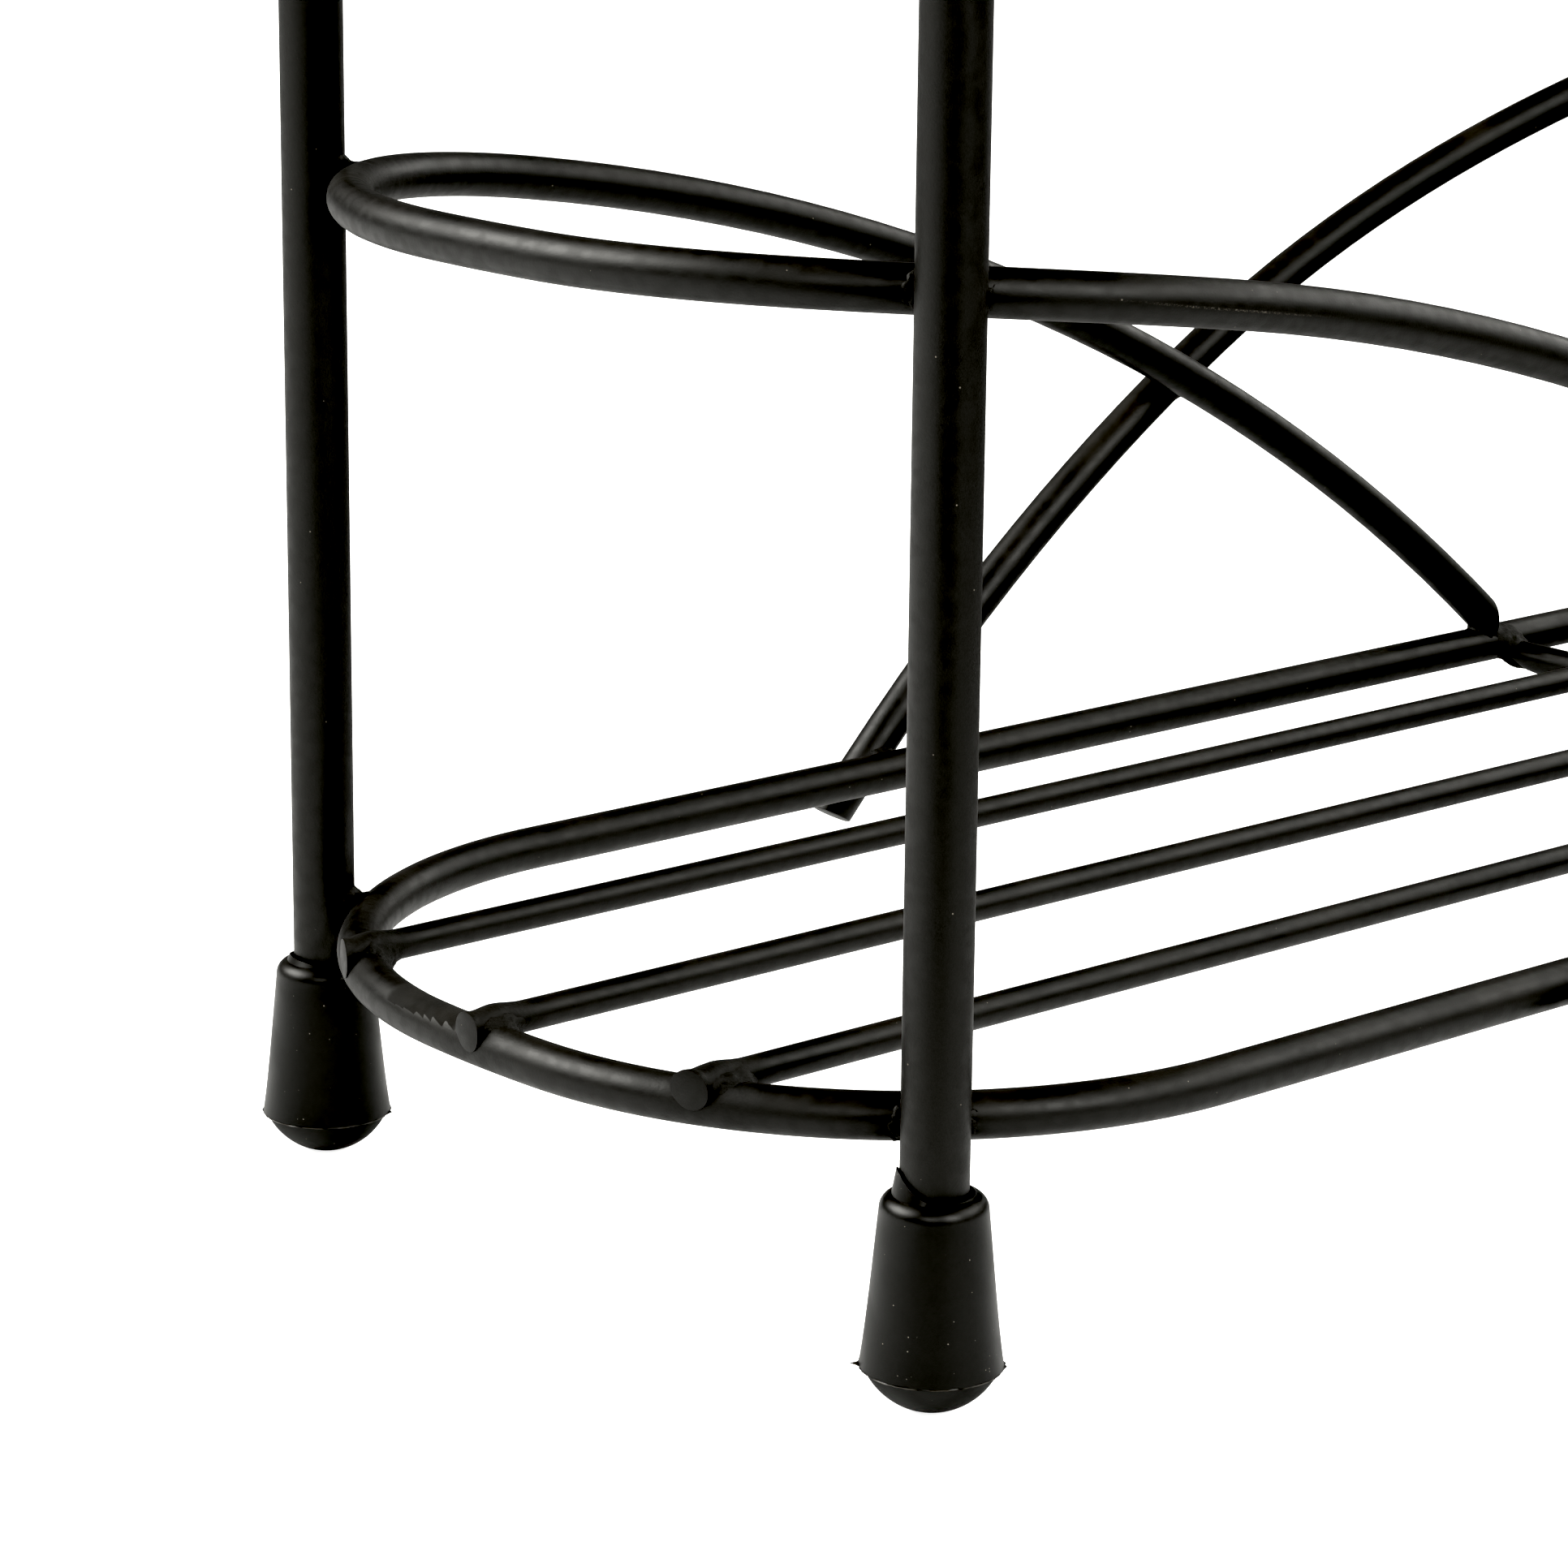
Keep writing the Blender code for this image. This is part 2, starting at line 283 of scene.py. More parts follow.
def filmGroup():
    # a thin uneven film of dust that settles on what faces up
    tree, given, out = newGroup(
        "dustFilm", {"Place": (0, 0, 0), "Patch Size": 0.01, "Amount": 0.1}, ("Mask",))
    normal = newNode(tree, "ShaderNodeNewGeometry").outputs["Normal"]
    upward = newNode(tree, "ShaderNodeSeparateXYZ", {"Vector": normal}).outputs["Z"]
    patches = newNoise(tree, given["Place"], given["Patch Size"], 4.0, 0.65)
    mask = newProduct(
        tree, newRamp(tree, upward, -0.2, 1.0), newRamp(tree, patches, 0.3, 0.75), given["Amount"])
    tree.links.new(mask, out["Mask"])
    return tree


def biteGroup():
    # a clamp's bite on the wire: matt down to a line of uneven teeth, deeper toward the slat
    driftScale, softEdge = 420.0, 0.00004
    tree, given, out = newGroup("clampBite", {
        "Place": (0, 0, 0), "Middle": (0, 0, 0), "Length": 0.01, "Tooth": 0.001, "Depth": 0.0004},
        ("Mask",))
    parts = offsetFrom(tree, given["Place"], given["Middle"])
    alongY = newMath(tree, "DIVIDE", parts["Y"], given["Length"])
    inLength = newRamp(tree, newMath(tree, "ABSOLUTE", alongY), 0.5, 0.4)
    inReach = newMath(tree, "LESS_THAN", newMath(tree, "ABSOLUTE", parts["X"]), given["Length"])
    drift = newNode(tree, "ShaderNodeTexNoise", {
        "Vector": given["Place"], "Scale": driftScale, "Detail": 1.0}).outputs["Fac"]
    teeth = newMath(tree, "ADD", newMath(tree, "DIVIDE", parts["Y"], given["Tooth"]), drift)
    grown = newRamp(tree, alongY, 0.6, -0.5)
    line = newProduct(tree, newMath(tree, "FRACT", teeth), given["Depth"], grown)
    above = newRamp(tree, newMath(tree, "SUBTRACT", parts["Z"], line), -softEdge, softEdge)
    tree.links.new(newProduct(tree, inLength, inReach, above), out["Mask"])
    return tree


def scuffGroup():
    # a run of short scratches along the wire
    scratchScale = (5200, 5200, 9000)
    tree, given, out = newGroup("scuffLine", {
        "Place": (0, 0, 0), "Middle": (0, 0, 0), "Slope": 0.0, "Length": 0.01, "Width": 0.0006}, ("Mask",))
    parts = offsetFrom(tree, given["Place"], given["Middle"])
    alongX = newMath(tree, "DIVIDE", newMath(tree, "ABSOLUTE", parts["X"]), given["Length"])
    inLength = newRamp(tree, alongX, 0.55, 0.05)
    inDepth = newMath(tree, "LESS_THAN", newMath(tree, "ABSOLUTE", parts["Y"]), given["Length"])
    offLine = newMath(tree, "SUBTRACT", parts["Z"], newProduct(tree, parts["X"], given["Slope"]))
    offLine = newMath(tree, "DIVIDE", newMath(tree, "ABSOLUTE", offLine), given["Width"])
    inWidth = newRamp(tree, offLine, 1.0, 0.3)
    squeezed = newNode(tree, "ShaderNodeVectorMath", {
        0: given["Place"], 1: scratchScale}, operation="MULTIPLY").outputs[0]
    grains = newRamp(tree, newNoise(tree, squeezed, 1.0, 3.0, 0.7), 0.50, 0.66)
    tree.links.new(newProduct(tree, inLength, inWidth, grains, inDepth), out["Mask"])
    return tree


effects = {
    "grain": grainGroup(),
    "specks": speckGroup(),
    "film": filmGroup(),
    "bite": biteGroup(),
    "scuff": scuffGroup(),
}
print("effect groups:", ", ".join(group.name for group in effects.values()))

# Satin black powder coat. Its grain, specks and film go by the sockets of their groups, sizes in metres.
coat = {
    "colour": (0.0045, 0.0044, 0.0042),
    "roughness": 0.44,
    "roughnessSpread": 0.07,
    "specular": 0.40,
    "grain": {"Grain Size": 0.00022, "Peel Size": 0.0014},
    "grainDepth": 0.000014,
    "heatRoughness": 0.16,       # by a weld the coat is duller
    "heatDepth": 4.0,            # and that much deeper in grain
    "heatGrain": {"Grain Size": 0.00045, "Peel Size": 0.0014},
    "dustColour": (0.23, 0.20, 0.16),
    "specks": {"Spacing": 0.0015, "Size": 0.046, "Share": 0.45},
    "speckDust": 0.5,            # how much of its colour a speck shows
    "film": {"Patch Size": 0.012, "Amount": 0.03},
}
# Marks of this rack's making, on the bottom shelf only
shelfMarks = {
    "bite": {"Middle": (-0.1293, 0.0080, 0.02540), "Length": 0.0125, "Tooth": 0.0016, "Depth": 0.00055},
    "biteRoughness": 0.42,
    "scuff": {"Middle": (-0.0925, -0.0504, 0.0929), "Slope": -0.149, "Length": 0.0250, "Width": 0.00013},
    "scuffDust": 0.30,
}


def startMaterial(name, values):
    # what the coat and the rubber share: grain, dust, and roughness that follows the grain's slow part
    mat, tree, place = newMaterial(name)
    grain = placeGroup(tree, "grain", place, values["grain"])
    specks = placeGroup(tree, "specks", place, values["specks"])["Mask"]
    film = placeGroup(tree, "film", place, values["film"])["Mask"]
    dust = newMath(tree, "MAXIMUM", newProduct(tree, specks, values["speckDust"]), film)
    low = values["roughness"]
    roughness = newRamp(tree, grain["Tone"], 0.0, 1.0, low, low + values["roughnessSpread"])
    return mat, place, grain["Height"], dust, roughness


def finishMaterial(mat, values, height, dust, roughness):
    tree = mat.node_tree
    shader = tree.nodes["Principled BSDF"]
    colour = newBlend(tree, dust, values["colour"], values["dustColour"])
    bump = newNode(tree, "ShaderNodeBump", {
        "Height": height, "Strength": 1.0, "Distance": values["grainDepth"]})
    tree.links.new(colour, shader.inputs["Base Color"])
    tree.links.new(roughness, shader.inputs["Roughness"])
    tree.links.new(bump.outputs["Normal"], shader.inputs["Normal"])
    shader.inputs["Specular IOR Level"].default_value = values["specular"]
    return mat


def powderCoat(name, bite=False, scuff=False, **changes):
    values = {**coat, **changes}
    mat, place, height, dust, roughness = startMaterial(name, values)
    tree = mat.node_tree
    heat = newNode(tree, "ShaderNodeAttribute", attribute_name="weldHeat").outputs["Fac"]
    roughness = newMath(tree, "ADD", roughness, newProduct(tree, heat, values["heatRoughness"]))
    pitted = placeGroup(tree, "grain", place, values["heatGrain"])["Height"]
    height = newMath(tree, "ADD", height, newProduct(tree, heat, values["heatDepth"], pitted))
    if bite:
        bitten = placeGroup(tree, "bite", place, shelfMarks["bite"])["Mask"]
        duller = newProduct(tree, bitten, shelfMarks["biteRoughness"])
        roughness = newMath(tree, "ADD", roughness, duller, clamp=True)
    if scuff:
        scuffed = placeGroup(tree, "scuff", place, shelfMarks["scuff"])["Mask"]
        dust = newMath(tree, "MAXIMUM", dust, newProduct(tree, scuffed, shelfMarks["scuffDust"]))
    return finishMaterial(mat, values, height, dust, roughness)


finishes = {
    "plain": powderCoat("powderCoat"),
    "bitten": powderCoat("powderCoatClampMarked", bite=True),
    "scuffed": powderCoat("powderCoatScuffed", scuff=True),
    # right guards: more of the up-facing dust film, partly dust and partly a painted warm reflection, its
    # brown standing in for the warm tint of their highlight
    "dustAndWarmReflection": powderCoat("powderCoatDustAndWarmReflection", film={**coat["film"], "Amount": 0.045}),
    "weld": powderCoat("powderCoatOverWeld", roughness=coat["roughness"] + 0.20,
                       grainDepth=coat["grainDepth"] * 5.0),
}
print("powder coats:", len(finishes))

# Shelf ring: one closed wire
ring = {
    "wire": 0.0043,
    "sides": 28,
    "railStep": 0.0150,
    "heatStart": 0.0030,         # from a slat's weld, where the coat is dull
    "heatStop": 0.0075,
    "heat": 0.6,                 # at its most, as a share of a slat's
}


def ringPath(height):
    right = rightEndPlan()
    steps = math.ceil(2 * cornerX / ring["railStep"])
    rail = [(cornerX - 2 * cornerX * i / steps, railY) for i in range(1, steps)]
    half = [(x, y, height) for x, y in right + rail]
    return half + flipSides(half)


def easeOut(t):
    t = min(max(t, 0.0), 1.0)
    return 1 - t * t * (3 - 2 * t)


def ringHeat(point):
    away = min(math.hypot(abs(point.x) - ringX(y), point.y - y) for y in slatRows.values())
    return ring["heat"] * easeOut((away - ring["heatStart"]) / (ring["heatStop"] - ring["heatStart"]))


for tier, height in zip(tiers, ringHeights):
    finish = finishes["bitten" if tier == "bottom" else "plain"]
    verts, faces = sweepWire(ringPath(height), ring["wire"] / 2, ring["sides"], closed=True)
    addPiece(tier + "ShelfRing", [(verts, faces)], finish, [tier + "_shelf_ring"],
             heats=[ringHeat(vert) for vert in verts])
print("shelf rings:", len(tiers))

# Slats: cut flush with the ring's outer side, pressed on to it by the weld
slat = {
    "wire": 0.0029,
    "rise": 0.0018,              # over the ring's centre line
    "sides": 36,
    "edge": 0.00006,
    "past": 0.00010,             # how far the cut end stands past the ring
    "lip": 0.00016,              # spread of the cut end all round
    "tongue": 0.00045,           # and of its lowest side, dragged down by the cutter
    "tongueTurn": math.radians(157),
    "lipLength": 0.0011,
    "hump": 0.00034,             # top of the wire over the weld
    "humpPlace": 0.0030,         # from the cut end
    "humpLength": 0.0034,
    "unevenness": 0.00006,
    "waves": 900,                # of that, for each metre
    "wavesRound": 1.4,           # and round the wire
    "face": 0.00002,             # as near the end as this is the cut face itself
    "heatStart": 0.0050,         # the coat is dull from the end to here
    "heatStop": 0.0085,          # and as good as elsewhere from here
    "slantLength": 0.0040,       # the cut's slant is gone this far in
}


def slatSwell(length, seed):
    def swell(distance, turn):
        near = min(distance, length - distance)
        swollen = 3 * slat["humpPlace"]
        if near > swollen:
            return 0.0
        upward = max(math.cos(turn), 0.0)
        tongue = slat["tongue"] * max(math.cos(turn - slat["tongueTurn"]), 0.0) ** 3
        lip = (slat["lip"] + tongue) * easeOut(near / slat["lipLength"])
        hump = slat["hump"] * easeOut(abs(near - slat["humpPlace"]) / slat["humpLength"]) * upward ** 1.2
        wobble = noise.noise(Vector((
            distance * slat["waves"], math.cos(turn) * slat["wavesRound"] + seed,
            math.sin(turn) * slat["wavesRound"])))
        fade = easeOut(near / swollen)
        return lip + hump + slat["unevenness"] * wobble * fade
    return swell


def slatHeat(fromEnd):
    if fromEnd < slat["face"]:
        return 0.0
    return easeOut((fromEnd - slat["heatStart"]) / (slat["heatStop"] - slat["heatStart"]))


def slatPath(y, height):
    # stations crowd together where the lip and the hump are
    end = ringX(y, ring["wire"] / 2) + slat["past"]
    lip = {end - slat["lipLength"] * t for t in (0.0, 0.15, 0.3, 0.45, 0.6, 0.8, 1.0, 1.25)}
    hump = {end - slat["humpPlace"] * t
            for t in (0.55, 0.7, 0.85, 1.0, 1.15, 1.3, 1.5, 1.75, 2.0, 2.4, 2.8, 3.2)}
    right = lip | hump
    return [(x, y, height + slat["rise"]) for x in sorted(right | {0.0} | {-x for x in right})]


def slantEnds(verts, y, end):
    # both cuts turned along the ring's outer side
    outer = ring["wire"] / 2
    for vert in verts:
        share = easeOut((end - abs(vert.x)) / slat["slantLength"])
        vert.x += (ringX(vert.y, outer) - ringX(y, outer)) * share * (1 if vert.x > 0 else -1)


for t, (tier, height) in enumerate(zip(tiers, ringHeights)):
    for s, (row, y) in enumerate(slatRows.items()):
        path = slatPath(y, height)
        end = path[-1][0]
        verts, faces = sweepWire(path, slat["wire"] / 2, slat["sides"], edge=slat["edge"],
                                 swell=slatSwell(2 * end, 7.3 * t + 2.1 * s))
        heats = [slatHeat(end - abs(vert.x)) for vert in verts]
        slantEnds(verts, y, end)
        addPiece(f"{tier}{row.capitalize()}Slat", [(verts, faces)], finishes["plain"],
                 [f"{tier}_{row}_slat"], heats=heats)
print("slats:", len(tiers) * len(slatRows))

# Guards: each arm is an arc in side view, highest at its own end of the rack
guard = {
    "wire": 0.0043,
    "sides": 28,
    "edge": 0.00020,
    "armTurn": math.radians(1.0),
    "lap": 0.0046,               # the right guard's arms run this far outside the rails
    # heights of the crest and of the cut over the ring's centre line, and the way that the cut looks
    "left": {"crest": 0.0715, "end": 0.0030, "radius": 0.2950, "cut": Vector((1.0, 0.0, 0.0))},
    "right": {"crest": 0.0737, "end": -0.0051, "radius": 0.2380, "cut": Vector((-0.50, 0.0, -0.87))},
}


def armHeight(side, run):
    # height over the ring, that far along the rack from the crest
    radius = guard[side]["radius"]
    return guard[side]["crest"] - radius + math.sqrt(radius ** 2 - run ** 2)


def armRun(side, height):
    # how far along the rack from its crest an arm has come down to a height
    radius = guard[side]["radius"]
    return math.sqrt(radius ** 2 - (radius - guard[side]["crest"] + height) ** 2)


def crossingX():
    # where the two guards' arms meet in side view
    low, high = -cornerX, cornerX
    for _ in range(40):
        x = (low + high) / 2
        if armHeight("left", x + endX) > armHeight("right", endX - x):
            low = x
        else:
            high = x
    return low


crossX = crossingX()
leftFootX = -endX + armRun("left", guard["left"]["end"])


def lapShift(x):
    # how far outside the rail a right guard's arm runs
    start = crossX + 2 * guard["wire"]
    return guard["lap"] * easeOut((x - start) / (cornerX - start))


def guardPath(side, height):
    # a guard at the right end, from the front foot round the end to the back foot
    footX = endX - armRun(side, guard[side]["end"])
    steps = math.ceil((cornerX - footX) / (guard[side]["radius"] * guard["armTurn"]))
    xs = [footX + (cornerX - footX) * i / steps for i in range(steps)]
    shift = lapShift if side == "right" else lambda x: 0.0
    front = [(x, -railY - shift(x)) for x in xs]
    outline = front + rightEndPlan() + [(x, -y) for x, y in reversed(front)]
    path = [(x, y, height + armHeight(side, max(endX - x, 0.0))) for x, y in outline]
    return flipSides(path) if side == "left" else path


for tier, height in zip(tiers, ringHeights):
    for side in ("left", "right"):
        wire = sweepWire(guardPath(side, height), guard["wire"] / 2, guard["sides"], edge=guard["edge"],
                         cutWay=guard[side]["cut"])
        left = "scuffed" if tier == "bottom" else "plain"
        # the right guards take the coat whose dust film also paints a warm reflection
        finish = finishes["dustAndWarmReflection" if side == "right" else left]
        addPiece(f"{tier}{side.capitalize()}Guard", [wire], finish, [f"{tier}_{side}_guard"])
print("guards:", 2 * len(tiers))

# Crossbar under the slats, its ends inside the rails
crossbar = {
    "wire": 0.0035,
    "sides": 24,
    "edge": 0.0006,
    "step": 0.0115,
    "short": 0.0014,             # ends stop this far inside the rails' centre lines
    "pressed": 0.0003,           # up into the slats
    "flat": 0.0010,              # taken off underneath at the ends
    "flatLength": 0.0045,
}


def crossbarPath(tier):
    low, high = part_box(tier + "_crossbar")
    middle = (low + high) / 2
    reach = railY - crossbar["short"]
    inner = reach - crossbar["flatLength"]
    steps = math.ceil(2 * inner / crossbar["step"])
    ends = [reach - crossbar["flatLength"] * t for t in (0.0, 0.25, 0.5, 0.75)]
    ys = [-y for y in ends] + [-inner + 2 * inner * i / steps for i in range(steps + 1)] + ends[::-1]
    return [(middle.x, y, middle.z + crossbar["pressed"]) for y in ys]


def crossbarSwell(length):
    def swell(distance, turn):
        near = min(distance, length - distance)
        return -crossbar["flat"] * easeOut(near / crossbar["flatLength"]) * max(-math.cos(turn), 0.0)
    return swell


for tier in tiers:
    path = crossbarPath(tier)
    wire = sweepWire(path, crossbar["wire"] / 2, crossbar["sides"], edge=crossbar["edge"],
                     swell=crossbarSwell(2 * path[-1][1]))
    addPiece(tier + "Crossbar", [wire], finishes["plain"], [tier + "_crossbar"])
print("crossbars:", len(tiers))

# End frames: two legs and the arch over them, bent from one rod
leg = {"wire": 0.0060, "sides": 36, "edge": 0.0003, "step": 0.0200, "archTurn": math.radians(3.0)}
legLow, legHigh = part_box("right_end_frame")
legY = legHigh.y - leg["wire"] / 2
archZ = legHigh.z - leg["wire"] / 2 - legY


def framePath(x):
    steps = math.ceil((archZ - legLow.z) / leg["step"])
    heights = [legLow.z + (archZ - legLow.z) * i / steps for i in range(steps)]
    arch = arcPoints((0, archZ), legY, 0, math.pi, leg["archTurn"])
    up = [(x, legY, z) for z in heights]
    down = [(x, -legY, z) for z in reversed(heights)]
    return up + [(x, y, z) for y, z in arch] + down


for side, x in (("left", -legX), ("right", legX)):
    wire = sweepWire(framePath(x), leg["wire"] / 2, leg["sides"], edge=leg["edge"])
    addPiece(side + "EndFrame", [wire], finishes["plain"], [side + "_end_frame"])
print("end frames: 2")

# Rubber foot, turned about the leg, with the flash of its mould left on
foot = {
    "sides": 96,
    "height": 0.0194,
    "rimRadius": 0.00472,
    "rimRound": 0.0014,
    "taper": 0.00133,            # radius gained down the side
    "flare": 0.00016,            # and on top of that by the skirt
    "flarePower": 5,
    "skirtHeight": 0.0040,
    "skirtStep": 0.00032,        # from the skirt in to the dome
    "domeDrop": 0.00016,         # and down to it
    "soleRadius": 0.0009,
    "boreGap": 0.00030,
    "boreBottom": 0.0085,        # over the floor
    "lipHeight": 0.0006,
    "lipThickness": 0.00035,
    "lipSlope": 0.0001,          # its middle over its inner edge
    "flapHeight": 0.0021,        # torn lip that climbs the leg
    "flapSpread": math.radians(88),
    "flapRagged": 0.12,
    "flash": 0.00009,            # ridge at the mould's parting line
    "flashEven": 0.7,            # share of it all round
    "flashRagged": 1.2,          # and the uneven share
    "flashDrop": 0.00007,        # of that line under the skirt's edge
    "nearSkirt": (0.000012, 0.00010),  # in and up from that edge, where the side's shading stops
    "spur": 0.00075,
    "spurSpread": math.radians(5),
    "rimTurn": math.radians(7),
    "sideSteps": 18,
    "domeSteps": 14,
}
footMarks = {
    # size of the torn lip and where it is, then place and size of each spur on the parting line
    "left_front": {"flap": (1.0, 143), "spurs": ((139, 1.0), (-46, 0.35), (-38, 0.2))},
    "left_back": {"flap": (0.22, 165), "spurs": ((-49, 0.35), (143, 0.15))},
    "right_front": {"flap": (0.15, 30), "spurs": ((62, 0.4), (230, 0.25))},
    "right_back": {"flap": (0.45, 290), "spurs": ((15, 0.7), (170, 0.3))},
}


def bumpAt(turn, degrees, spread):
    away = turn - math.radians(degrees)
    return easeOut(abs((away + math.pi) % (2 * math.pi) - math.pi) / spread)


def footStations():
    # radius, height and kind, from the bore out over the rim and down to the sole
    bore = leg["wire"] / 2 + foot["boreGap"]
    top = foot["height"]
    rim = top - foot["rimRound"]
    rimIn = foot["rimRadius"] - foot["rimRound"]
    lip = foot["lipThickness"]
    stations = [(bore, foot["boreBottom"], "side"), (bore, top - foot["lipHeight"], "side"),
                (bore, top, "lip"), (bore + lip * 0.5, top + foot["lipSlope"], "lip")]
    lipEnd = math.acos(min(1.0, (bore + lip - rimIn) / foot["rimRound"]))
    for r, z in arcPoints((rimIn, rim), foot["rimRound"], lipEnd, 0, foot["rimTurn"]):
        stations.append((r, z, "side"))
    drop = rim - foot["skirtHeight"]
    for i in range(1, foot["sideSteps"] + 1):
        t = i / foot["sideSteps"]
        radius = foot["rimRadius"] + foot["taper"] * t + foot["flare"] * t ** foot["flarePower"]
        stations.append((radius, rim - drop * t, "side"))
    skirt = stations[-1][0]
    inward, upward = foot["nearSkirt"]
    stations.insert(-1, (skirt - inward, foot["skirtHeight"] + upward, "side"))
    stations.append((skirt, foot["skirtHeight"] - foot["flashDrop"], "flash"))
    domeTop = foot["skirtHeight"] - foot["domeDrop"]
    chord = skirt - foot["skirtStep"]
    dome = (chord ** 2 + domeTop ** 2) / (2 * domeTop)
    first, last = math.asin(chord / dome), math.asin(foot["soleRadius"] / dome)
    for i in range(foot["domeSteps"] + 1):
        turn = first + (last - first) * i / foot["domeSteps"]
        share = (math.cos(last) - math.cos(turn)) / (math.cos(last) - math.cos(first))
        stations.append((dome * math.sin(turn), domeTop * share, "side"))
    stations.append((foot["soleRadius"] * 0.5, 0.0, "side"))
    return stations


def footPart(place, seed, marks):
    base = Vector((place.x, place.y, 0.0))
    stations = footStations()
    flapSize, flapTurn = marks["flap"]
    verts = []
    sides = foot["sides"]
    for radius, z, kind in stations:
        for k in range(sides):
            turn = 2 * math.pi * k / sides
            r, h = radius, z
            way = Vector((math.cos(turn), math.sin(turn), 0.0))
            if kind == "lip":
                flap = flapSize * bumpAt(turn, flapTurn, foot["flapSpread"])
                ragged = 1 + foot["flapRagged"] * noise.noise(way * 5 + Vector((seed, 0, 0)))
                h += foot["flapHeight"] * flap * ragged
                r -= foot["boreGap"] * 0.75 * min(flap * 1.5, 1.0)
            if kind == "flash":
                ragged = foot["flashRagged"] * noise.noise(way * 17 + Vector((0, seed, 0)))
                r += foot["flash"] * (foot["flashEven"] + ragged)
                for spurTurn, size in marks["spurs"]:
                    r += foot["spur"] * size * bumpAt(turn, spurTurn, foot["spurSpread"])
            verts.append(base + way * r + Vector((0, 0, h)))
    faces = []
    for i in range(len(stations) - 1):
        a, b = i * sides, (i + 1) * sides
        for k in range(sides):
            m = (k + 1) % sides
            faces.append((b + k, b + m, a + m, a + k))
    faces.append(tuple(range(sides)))
    faces.append(tuple(len(verts) - sides + k for k in reversed(range(sides))))
    return verts, faces


rubber = {
    "colour": (0.0036, 0.0036, 0.0036),
    "roughness": 0.36,
    "roughnessSpread": 0.08,
    "rimRoughness": -0.04,       # the rim is polished by the mould
    "domeRoughness": 0.22,
    "specular": 0.36,
    "grain": {"Grain Size": 0.00030, "Peel Size": 0.0040},
    "grainDepth": 0.000006,
    "dustColour": (0.30, 0.27, 0.22),
    "specks": {"Spacing": 0.0008, "Size": 0.064, "Share": 0.80},
    "speckDust": 0.6,
    "film": {"Patch Size": 0.004, "Amount": 0.02},
    "flashDust": 0.13,
    "flashWidth": 0.00008,       # from the parting line, where its dust is gone
    "flashScale": 900.0,
}


def footRubber(name):
    mat, place, grain, dust, roughness = startMaterial(name, rubber)
    tree = mat.node_tree
    height = newNode(tree, "ShaderNodeSeparateXYZ", {"Vector": place}).outputs["Z"]
    skirt, top = foot["skirtHeight"], foot["height"]
    offLine = newMath(tree, "ABSOLUTE", newMath(tree, "SUBTRACT", height, skirt - foot["flashDrop"]))
    worn = newNode(tree, "ShaderNodeTexNoise", {
        "Vector": place, "Scale": rubber["flashScale"], "Detail": 2.0}).outputs["Fac"]
    flash = newProduct(tree, newRamp(tree, offLine, rubber["flashWidth"], 0.00001),
                       newRamp(tree, worn, 0.40, 0.60), rubber["flashDust"])
    dust = newMath(tree, "MAXIMUM", dust, flash)
    belowLine = newRamp(tree, height, skirt, skirt - 0.0002, 0.0, rubber["domeRoughness"])
    atRim = newRamp(tree, height, top - 2.0 * foot["rimRound"], top - foot["rimRound"],
                    0.0, rubber["rimRoughness"])
    roughness = newMath(tree, "ADD", roughness, newMath(tree, "ADD", belowLine, atRim), clamp=True)
    return finishMaterial(mat, rubber, grain, dust, roughness)


finishes["rubber"] = footRubber("footRubber")
for f, (corner, marks) in enumerate(footMarks.items()):
    side, end = corner.split("_")
    part = footPart(middleOf(corner + "_foot"), 3.7 * f, marks)
    addPiece(f"{side}{end.capitalize()}Foot", [part], finishes["rubber"], [corner + "_foot"])
print("feet:", len(footMarks))

# Welds: a skin that fills the corner where wires meet and sinks into them further out
weld = {
    "step": 0.00027,
    "collarReach": 0.0009,       # metal squeezed out round the second wire, over the first
    "collarThickness": 0.00020,
    "collarRagged": 0.45,
    "sink": 0.00004,
    "taper": 0.0046,
    "raggedness": 0.00007,
    "cornerRaggedness": 0.00013,
    "lumpSize": 0.0010,
    "grainSize": 0.00045,
    "grainShare": 0.6,           # of the lumps' depth
    "legStretch": (-0.02, 0.1),  # of a leg, from the ring's centre line
    "short": 0.0005,             # a slat's weld ends this far inside its cut
    "stop": (1.0, 0.0),          # nothing past this far along the rack, and how that changes across it
    "lift": 0.0,                 # how far the weld's middle is over the place where wires meet
    "inward": 0.0,               # toward the rack's middle from there
    "along": 0.0,                # and toward its right
}
weldKinds = {
    # how far each goes, how wide its corner is filled, and what differs from the values above
    "slat": {"reach": 0.0064, "blend": 0.0025, "lift": 0.0012, "inward": 0.0018},
    "slatOnBar": {"reach": 0.0045, "blend": 0.0012, "collarReach": 0.0004, "taper": 0.0032,
                  "lift": 0.0002},
    "barOnRing": {"reach": 0.0056, "blend": 0.0020, "collarReach": 0.0004, "lift": -0.0012,
                  "inward": 0.0021},
    "frontLeg": {"reach": 0.0085, "blend": 0.0020, "collarReach": 0.0021, "collarThickness": 0.0003,
                 "cornerRaggedness": 0.00026},
    "backLeg": {"reach": 0.0064, "blend": 0.0026, "collarThickness": 0.0003, "cornerRaggedness": 0.00026},
    "crossing": {"reach": 0.0068, "blend": 0.0024, "collarReach": 0.0003, "lift": -0.0008},
    "guardFoot": {"reach": 0.0070, "blend": 0.0030, "lift": 0.0016, "inward": 0.0004, "along": 0.0012},
    "guardPast": {"reach": 0.0068, "blend": 0.0022, "collarReach": 0.0004, "lift": -0.0004},
}


def distanceToPath(points, path):
    best = np.full(len(points), 1.0)
    for start, stop in zip(path, path[1:]):
        along = stop - start
        t = np.clip((points - start) @ along / (along @ along), 0, 1)
        best = np.minimum(best, np.linalg.norm(points - start - t[:, None] * along, axis=1))
    return best


